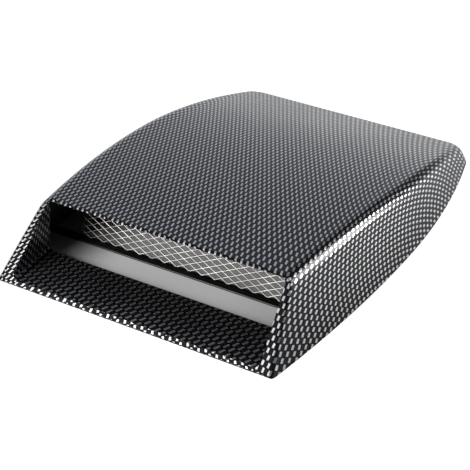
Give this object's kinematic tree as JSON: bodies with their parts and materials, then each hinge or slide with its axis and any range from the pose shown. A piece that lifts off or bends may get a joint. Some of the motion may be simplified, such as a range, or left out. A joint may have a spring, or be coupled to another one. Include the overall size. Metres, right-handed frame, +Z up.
{
  "type": "bonnet scoop",
  "caption": "Low arched bonnet air scoop in a glossy carbon-look shell, open underneath, with a raked mouth, a flat mouth floor and a diamond mesh standing behind it.",
  "frame": {"origin": "on the bonnet surface, under the middle of the scoop's box", "axes": "+Z up, away from the bonnet; -Y forward, the way the mouth faces; +X to the side"},
  "size_m": [0.286, 0.39, 0.057],
  "materials": {
    "carbon_look_shell": "black sheet with a light grey staggered check print under a clear gloss face",
    "bare_aluminium_mesh": "bare expanded aluminium, cut edges left raw",
    "black_plastic_rail": "plain black plastic strip"
  },
  "bodies": {
    "root": {"scoop_shell": "carbon_look_shell", "mesh_grille": "bare_aluminium_mesh", "mesh_rail": "black_plastic_rail"}
  },
  "joints": []
}
